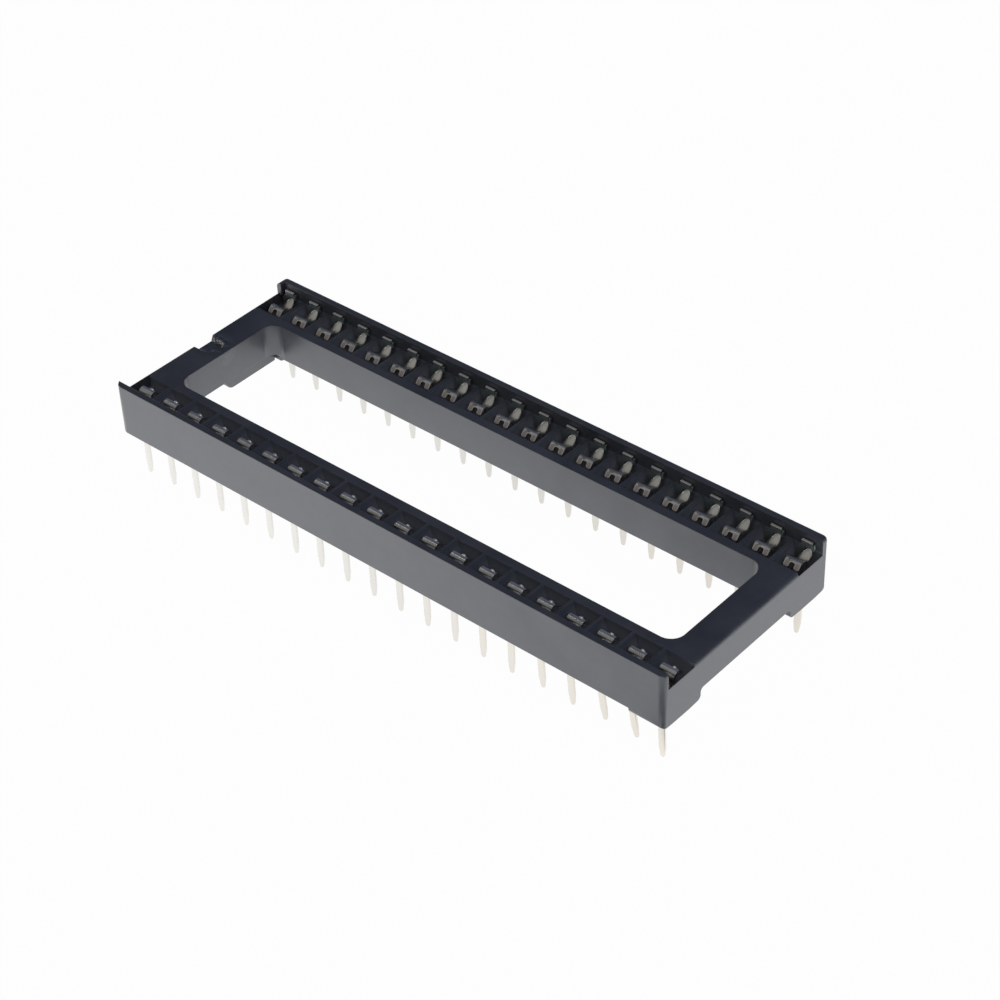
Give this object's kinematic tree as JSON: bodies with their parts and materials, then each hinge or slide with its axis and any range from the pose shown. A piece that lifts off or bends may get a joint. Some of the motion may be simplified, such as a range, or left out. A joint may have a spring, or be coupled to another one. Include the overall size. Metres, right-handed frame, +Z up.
{
  "type": "dip ic socket",
  "caption": "Dual-in-line IC socket: open-frame moulded housing with two rows of stamped dual-leaf contacts and through-hole tails.",
  "frame": {"origin": "centre of the tail grid on the board seating plane, where the corner standoffs stand", "axes": "+X along the rows away from the index notch, +Y towards the second row, +Z up from the board"},
  "size_m": [0.0505, 0.0178, 0.0083],
  "materials": {
    "housing": "moulded black polyester, satin",
    "contacts": "bright tin plate over copper alloy strip"
  },
  "bodies": {
    "root": {"housing": "housing", "contact_01": "contacts", "contact_02": "contacts", "contact_03": "contacts", "contact_04": "contacts", "contact_05": "contacts", "contact_06": "contacts", "contact_07": "contacts", "contact_08": "contacts", "contact_09": "contacts", "contact_10": "contacts", "contact_11": "contacts", "contact_12": "contacts", "contact_13": "contacts", "contact_14": "contacts", "contact_15": "contacts", "contact_16": "contacts", "contact_17": "contacts", "contact_18": "contacts", "contact_19": "contacts", "contact_20": "contacts", "contact_21": "contacts", "contact_22": "contacts", "contact_23": "contacts", "contact_24": "contacts", "contact_25": "contacts", "contact_26": "contacts", "contact_27": "contacts", "contact_28": "contacts", "contact_29": "contacts", "contact_30": "contacts", "contact_31": "contacts", "contact_32": "contacts", "contact_33": "contacts", "contact_34": "contacts", "contact_35": "contacts", "contact_36": "contacts", "contact_37": "contacts", "contact_38": "contacts", "contact_39": "contacts", "contact_40": "contacts"}
  },
  "joints": []
}
